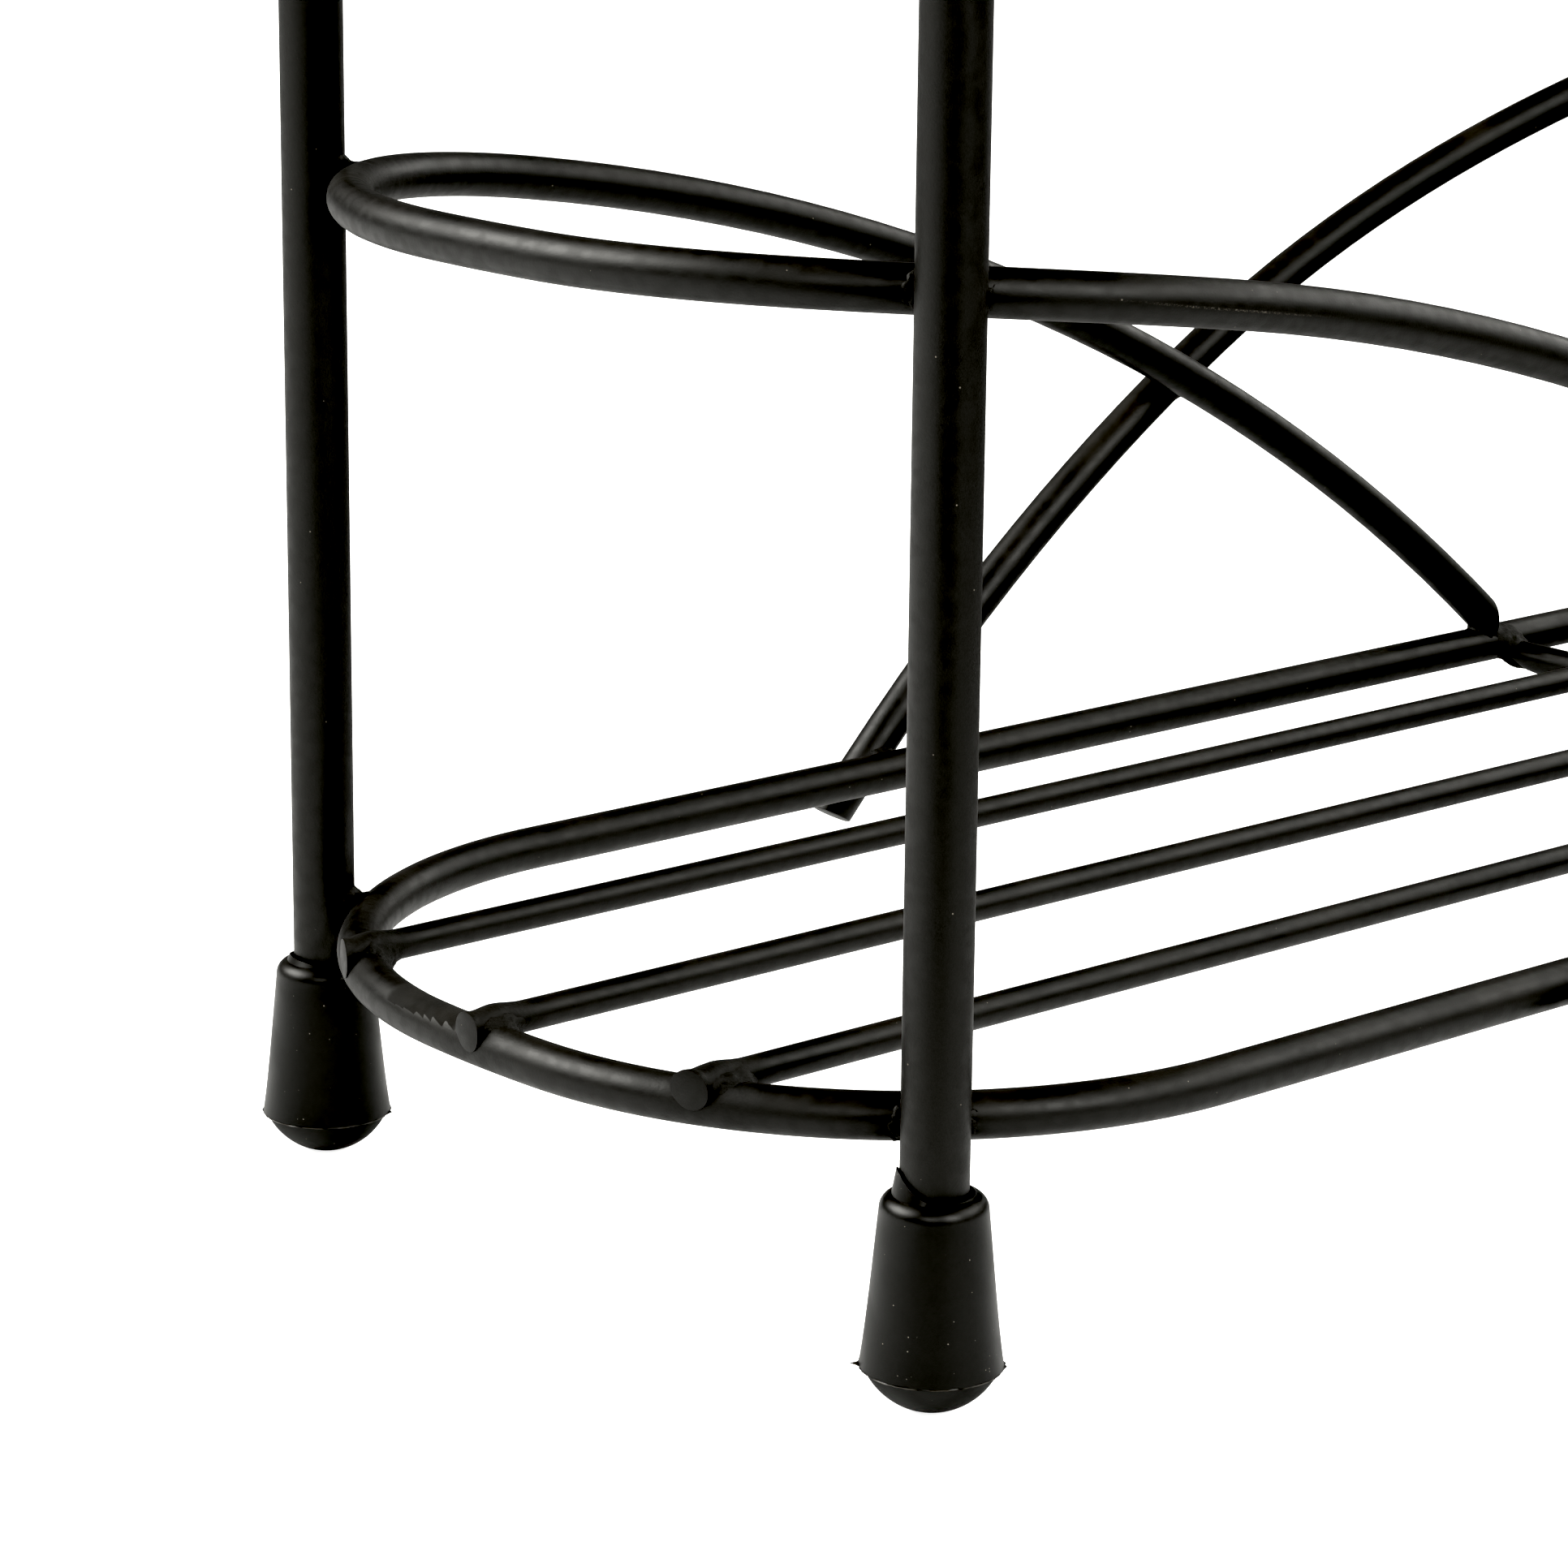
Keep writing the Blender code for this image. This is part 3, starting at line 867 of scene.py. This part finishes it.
def uneven(points, size):
    # a cheap wavy value between -1 and 1
    q = points / size
    return (np.sin(q @ (2.1, 1.3, 1.7)) + np.sin(q @ (-1.1, 2.9, 0.7) + 1.3)
            + np.sin(q @ (1.9, -0.8, 3.1) + 4.1)) / 3


def weldGap(points, wires, values):
    # distance to the joined wires, and how near each point is to the corner between them
    first = gap = distanceToPath(points, wires[0][0]) - wires[0][1]
    corner = np.zeros(len(points))
    for path, radius in wires[1:]:
        away = distanceToPath(points, path) - radius
        mix = np.maximum(values["blend"] - np.abs(gap - away), 0) / values["blend"]
        ragged = values["collarRagged"] * uneven(points, values["lumpSize"] * 0.5)
        reach = values["collarReach"] * (1 + ragged)
        collar = np.maximum(first - values["collarThickness"], away - reach)
        gap = np.minimum(np.minimum(gap, away) - mix ** 2 * values["blend"] / 4, collar)
        corner = np.maximum(corner, mix)
    return gap, corner


def weldField(points, wires, middle, values):
    spread = np.linalg.norm(points - middle, axis=1) / values["reach"]
    gap = weldGap(points, wires, values)[0] + values["sink"] + values["taper"] * spread ** 4
    stopX, slant = values["stop"]
    return np.maximum(gap, np.abs(points[:, 0]) - stopX - slant * points[:, 1])


def skinField(field, low, high, step):
    # quads where the field is zero, one point in each cell that the surface passes through
    axes = [np.arange(low[i], high[i] + step, step) for i in range(3)]
    grid = np.stack(np.meshgrid(*axes, indexing="ij"), -1)
    value = field(grid.reshape(-1, 3)).reshape(grid.shape[:3])
    total = np.zeros(grid.shape)
    hits = np.zeros(grid.shape[:3])
    quads = []
    for axis in range(3):
        u, v = (axis + 1) % 3, (axis + 2) % 3
        first = [slice(None)] * 3
        second = [slice(None)] * 3
        first[axis], second[axis] = slice(0, -1), slice(1, None)
        a, b = value[tuple(first)], value[tuple(second)]
        places = np.argwhere((a < 0) != (b < 0))
        at = tuple(places.T)
        share = a[at] / (a[at] - b[at])
        points = grid[at].copy()
        points[:, axis] += share * step
        corners = []
        for du, dv in ((0, 0), (1, 0), (1, 1), (0, 1)):
            cell = places.copy()
            cell[:, u] -= du
            cell[:, v] -= dv
            np.add.at(total, tuple(cell.T), points)
            np.add.at(hits, tuple(cell.T), 1)
            corners.append(np.ravel_multi_index(tuple(cell.T), grid.shape[:3]))
        quad = np.stack(corners, 1)
        turned = a[at] >= 0
        quad[turned] = quad[turned][:, ::-1]
        quads.append(quad)
    quads = np.concatenate(quads)
    used = np.flatnonzero(hits.ravel())
    number = np.full(hits.size, -1)
    number[used] = np.arange(len(used))
    points = total.reshape(-1, 3)[used] / hits.ravel()[used][:, None]
    return points, number[quads]


def slopeOf(field, points, small=0.00002):
    slope = np.zeros(points.shape)
    for axis in range(3):
        shift = np.zeros(3)
        shift[axis] = small
        slope[:, axis] = (field(points + shift) - field(points - shift)) / (2 * small)
    return slope


def weldSkin(kind, wires, middle, **changes):
    values = {**weld, **weldKinds[kind], **changes}
    middle = np.array(middle, float)
    near = []
    for path, radius in wires:
        path = np.array(path, float)
        gaps = [distanceToPath(middle[None], path[i:i + 2])[0] for i in range(len(path) - 1)]
        close = [i for i, gap in enumerate(gaps) if gap < values["reach"] * 1.6]
        near.append((path[close[0]:close[-1] + 2], radius))

    def field(points):
        return weldField(points, near, middle, values)

    size = values["reach"] * 1.1
    points, faces = skinField(field, middle - size, middle + size, values["step"])
    slope = slopeOf(field, points)
    strength = np.maximum((slope ** 2).sum(1), 0.05)
    points = points - slope * (field(points) / strength)[:, None]
    ways = slope / np.sqrt(strength)[:, None]
    rough = values["raggedness"] + values["cornerRaggedness"] * weldGap(points, near, values)[1] ** 2
    return points, faces, ways * rough[:, None], values


def placeWeld(skin, height, seed):
    # the skin at one tier, made lumpy, most of all in the corner between the wires
    points, faces, ways, values = skin
    verts = []
    for point, way in zip(points, ways):
        place = Vector(point) + Vector((0, 0, height))
        shift = Vector((seed, 0, 0))
        lump = noise.noise(place / values["lumpSize"] + shift)
        grain = noise.noise(place / values["grainSize"] - shift)
        verts.append(place + Vector(way) * (lump + values["grainShare"] * grain))
    return verts, faces.tolist()


def cutBack(path, amount):
    # the same path without its last stretch at each end
    path = [Vector(p) for p in path]
    for _ in range(2):
        left = amount
        while left > 0:
            way = path[-2] - path[-1]
            if way.length > left:
                path[-1] += way * (left / way.length)
                left = 0
            else:
                path.pop()
                left -= way.length
        path.reverse()
    return path


legCorners = [(sx, sy) for sx in (-1, 1) for sy in (-1, 1)]


def bottomWires():
    # paths are cut back by about a radius, as distances to them round the wires' ends off
    loop = ringPath(ringZ)
    wires = {"ring": (loop + loop[:1], ring["wire"] / 2)}
    for corner in legCorners:
        x, y = corner[0] * legX, corner[1] * legY
        wires[corner] = ([(x, y, ringZ + z) for z in weld["legStretch"]], leg["wire"] / 2)
    for side in ("left", "right"):
        wires[side] = (cutBack(guardPath(side, ringZ), guard["wire"] / 2), guard["wire"] / 2)
    for row, y in slatRows.items():
        wires[row] = (cutBack(slatPath(y, ringZ), slat["wire"] * 0.45), slat["wire"] / 2)
    wires["crossbar"] = (cutBack(crossbarPath("bottom"), crossbar["wire"] * 0.4), crossbar["wire"] / 2)
    return wires


def legContact(sx, sy, wireRadius):
    # where a leg touches the wire that runs inside it, in plan
    reach = Vector((legX - cornerX, legY - cornerY))
    spot = Vector((cornerX, cornerY)) + reach.normalized() * (cornerRadius + wireRadius)
    return sx * spot.x, sy * spot.y


def bottomWelds():
    wires = bottomWires()
    ringWire, bar, left, right = (wires[name] for name in ("ring", "crossbar", "left", "right"))
    skins = {"Slat": [], "Leg": [], "Guard": [], "Crossbar": []}
    barX = bar[0][0].x
    for row, y in slatRows.items():
        slant = (ringX(y + 0.001) - ringX(y - 0.001)) / 0.002
        stop = (ringX(y, ring["wire"] / 2) - weld["short"] - slant * y, slant)
        kind = weldKinds["slat"]
        for sx in (-1, 1):
            middle = (sx * (ringX(y) - kind["inward"]), y, ringZ + kind["lift"])
            skins["Slat"].append(weldSkin("slat", [ringWire, wires[row]], middle, stop=stop))
        middle = (barX, y, ringZ + weldKinds["slatOnBar"]["lift"])
        skins["Crossbar"].append(weldSkin("slatOnBar", [bar, wires[row]], middle))
    for sx, sy in legCorners:
        x, y = legContact(sx, sy, ring["wire"] / 2)
        kind = "backLeg" if sy > 0 else "frontLeg"
        side = "left" if sx < 0 else "right"
        armZ = ringZ + armHeight(side, endX - abs(x))
        for wire, z in ((ringWire, ringZ), (wires[side], armZ)):
            skins["Leg"].append(weldSkin(kind, [wire, wires[sx, sy]], (x, y, z)))
    crossZ = ringZ + armHeight("left", crossX + endX)
    overX = endX - armRun("right", 0.0)
    lapY = railY + guard["lap"] / 2
    spots = {
        "crossing": ("Guard", [left, right], crossX, lapY, crossZ),
        "guardFoot": ("Guard", [ringWire, left, bar], leftFootX, railY, ringZ),
        "guardPast": ("Guard", [right, ringWire], overX, lapY, ringZ),
        "barOnRing": ("Crossbar", [ringWire, bar], barX, railY, ringZ),
    }
    for sy in (-1, 1):
        for kind, (group, joined, x, y, z) in spots.items():
            values = {**weld, **weldKinds[kind]}
            middle = (x + values["along"], sy * (y - values["inward"]), z + values["lift"])
            skins[group].append(weldSkin(kind, joined, middle))
    return skins


skins = bottomWelds()
for t, (tier, height) in enumerate(zip(tiers, ringHeights)):
    for kind, group in skins.items():
        parts = [placeWeld(skin, height - ringZ, 11.0 * t + 1.7 * i) for i, skin in enumerate(group)]
        addPiece(f"{tier}{kind}Welds", parts, finishes["weld"], sharp=math.pi)
print("welds:", len(tiers) * sum(len(group) for group in skins.values()))

# Stage: pale floor, soft boxes and the photograph's camera
stage = {
    "floorRadius": 3.0,
    "floorRings": 12,
    "floorSides": 96,
    "floorColour": (0.86, 0.86, 0.85),
    "floorMottle": 0.985,
    "floorGrain": {"Grain Size": 0.0008, "Peel Size": 0.03},
    "floorRoughness": 0.8,
    "floorSpecular": 0.1,
    "floorGlow": 0.60,           # lifts the floor to paper white for the camera
    "floorInGloss": 0.50,        # share of the floor's light that shiny surfaces mirror
    "poolInGloss": 0.85,         # and in the pool of light beside the rack
    "poolPlace": (-0.60, -0.05, 0.0),
    "poolRadius": (0.12, 0.95),  # full inside the first, gone past the second
    "lightColour": (1.0, 0.992, 0.94),
    "aim": (-0.06, 0.0, 0.08),
    "background": 1.2,
    "roomOnFloor": 0.80,         # soft light from all round, on matt surfaces
    "roomInGloss": 0.03,         # what shiny surfaces mirror between the soft boxes
    "black": 0.0272,             # brightness that prints as black
    "white": 0.75,               # and as white
}
shades = {
    # darker patches of floor in gloss: middle, where it is full and gone, and the share of light left
    "camera": {"place": (-0.35, -0.33, 0.0), "radius": (0.13, 0.36), "left": 0.15},
    "front": {"place": (0.45, -0.55, 0.0), "radius": (0.35, 0.64), "left": 0.28},
    "behind": {"place": (0.30, 0.14, 0.0), "radius": (0.14, 0.38), "left": 0.22},
}
softBoxes = {
    # turn from the rack's front toward its right and rise over the floor, both in degrees, then metres
    "left": {"turn": -135, "rise": 37, "distance": 1.3, "size": (0.95, 0.62), "power": 20},
    "front": {"turn": -50, "rise": 28, "distance": 1.3, "size": (0.7, 0.5), "power": 3.0},
    "low": {"turn": -2, "rise": 30, "distance": 1.3, "size": (0.5, 0.5), "power": 7.2},
    "right": {"turn": 51, "rise": 34, "distance": 1.3, "size": (0.85, 0.65), "power": 5.4},
    "fill": {"turn": 41, "rise": 7, "distance": 1.3, "size": (0.5, 0.4), "power": 0.22},
    "side": {"turn": 94, "rise": 24, "distance": 1.3, "size": (0.6, 0.6), "power": 4.3},
    "rear": {"turn": 136, "rise": 18, "distance": 1.5, "size": (1.6, 0.7), "power": 0.6},
}
view = {
    "place": (-0.38689, -0.33194, 0.15954),
    "yaw": math.radians(41.0746),    # from +Y toward +X
    "pitch": math.radians(14.8785),  # down
    "roll": math.radians(0.5780),
    "lens": 113.061,
    "sensor": 36.0,
    "clipStart": 0.01,
}


def addFloor():
    count, sides = stage["floorRings"], stage["floorSides"]
    turns = [2 * math.pi * k / sides for k in range(sides)]
    verts = [(0, 0, 0)]
    for i in range(1, count + 1):
        radius = stage["floorRadius"] * (i / count) ** 2
        verts += [(radius * math.cos(turn), radius * math.sin(turn), 0.0) for turn in turns]
    faces = [(0, 1 + k, 1 + (k + 1) % sides) for k in range(sides)]
    for i in range(count - 1):
        a, b = 1 + i * sides, 1 + (i + 1) * sides
        faces += [(a + k, b + k, b + (k + 1) % sides, a + (k + 1) % sides) for k in range(sides)]
    mesh = bpy.data.meshes.new("floor")
    mesh.from_pydata(verts, [], faces)
    mat, tree, place = newMaterial("paleFloor")
    shader = tree.nodes["Principled BSDF"]
    grain = placeGroup(tree, "grain", place, stage["floorGrain"])
    darker = [c * stage["floorMottle"] for c in stage["floorColour"]]
    tone = newBlend(tree, grain["Tone"], stage["floorColour"], darker)
    away = newNode(tree, "ShaderNodeVectorMath", {0: place, 1: stage["poolPlace"]}, operation="DISTANCE")
    inner, outer = stage["poolRadius"]
    mirrored = newRamp(tree, away.outputs["Value"], outer, inner,
                       stage["floorInGloss"], stage["poolInGloss"])
    for values in shades.values():
        off = newNode(tree, "ShaderNodeVectorMath", {0: place, 1: values["place"]}, operation="DISTANCE")
        shade = newRamp(tree, off.outputs["Value"], *values["radius"], values["left"], 1.0)
        mirrored = newProduct(tree, mirrored, shade)
    ray = newNode(tree, "ShaderNodeLightPath").outputs
    share = newNode(tree, "ShaderNodeMix", {"Factor": ray["Is Glossy Ray"], "A": 1.0, "B": mirrored})
    shown = newNode(tree, "ShaderNodeVectorMath", {
        0: tone, "Scale": share.outputs["Result"]}, operation="SCALE")
    glow = newNode(tree, "ShaderNodeVectorMath", {
        0: (stage["floorGlow"],) * 3, "Scale": ray["Is Camera Ray"]}, operation="SCALE")
    tree.links.new(shown.outputs[0], shader.inputs["Base Color"])
    tree.links.new(glow.outputs[0], shader.inputs["Emission Color"])
    shader.inputs["Emission Strength"].default_value = 1.0
    shader.inputs["Roughness"].default_value = stage["floorRoughness"]
    shader.inputs["Specular IOR Level"].default_value = stage["floorSpecular"]
    mesh.materials.append(mat)
    addObject("floor", mesh)


def addSoftBox(name, values):
    turn, rise = math.radians(values["turn"]), math.radians(values["rise"])
    aim = Vector(stage["aim"])
    way = Vector((math.sin(turn) * math.cos(rise), -math.cos(turn) * math.cos(rise), math.sin(rise)))
    light = bpy.data.lights.new(name + "SoftBox", "AREA")
    light.shape = "RECTANGLE"
    light.size, light.size_y = values["size"]
    light.energy = values["power"]
    light.color = stage["lightColour"]
    lamp = addObject(name + "SoftBox", light)
    lamp.location = aim + way * values["distance"]
    lamp.rotation_euler = way.to_track_quat("Z", "Y").to_euler()


def addRoom():
    world = bpy.data.worlds.new("studio")
    world.use_nodes = True
    tree = world.node_tree
    tree.nodes.clear()
    ray = newNode(tree, "ShaderNodeLightPath").outputs
    inGloss = newNode(tree, "ShaderNodeMix", {
        "Factor": ray["Is Glossy Ray"], "A": stage["roomOnFloor"], "B": stage["roomInGloss"]})
    strength = newNode(tree, "ShaderNodeMix", {
        "Factor": ray["Is Camera Ray"], "A": inGloss.outputs["Result"], "B": stage["background"]})
    room = newNode(tree, "ShaderNodeBackground", {
        "Color": (1, 1, 1, 1), "Strength": strength.outputs["Result"]})
    out = newNode(tree, "ShaderNodeOutputWorld")
    tree.links.new(room.outputs[0], out.inputs["Surface"])
    bpy.context.scene.world = world


def addCamera():
    yaw, pitch, roll = view["yaw"], view["pitch"], view["roll"]
    ahead = Vector((math.sin(yaw) * math.cos(pitch), math.cos(yaw) * math.cos(pitch), -math.sin(pitch)))
    level = ahead.cross(Vector((0, 0, 1))).normalized()
    above = level.cross(ahead)
    right = level * math.cos(roll) + above * math.sin(roll)
    up = above * math.cos(roll) - level * math.sin(roll)
    camera = bpy.data.cameras.new("camera")
    camera.lens = view["lens"]
    camera.sensor_width = view["sensor"]
    camera.clip_start = view["clipStart"]
    rig = addObject("camera", camera)
    turned = Matrix((right, up, -ahead)).transposed().to_4x4()
    rig.matrix_world = Matrix.Translation(view["place"]) @ turned
    bpy.context.scene.camera = rig


def printTone():
    # the photograph's own print: paper white floor, deep blacks
    settings = bpy.context.scene.view_settings
    settings.view_transform = "Standard"
    settings.use_curve_mapping = True
    settings.curve_mapping.black_level = [stage["black"]] * 3
    settings.curve_mapping.white_level = [stage["white"]] * 3
    settings.curve_mapping.update()


addFloor()
for name, values in softBoxes.items():
    addSoftBox(name, values)
addRoom()
addCamera()
printTone()
print("stage: floor,", len(softBoxes), "soft boxes and camera")
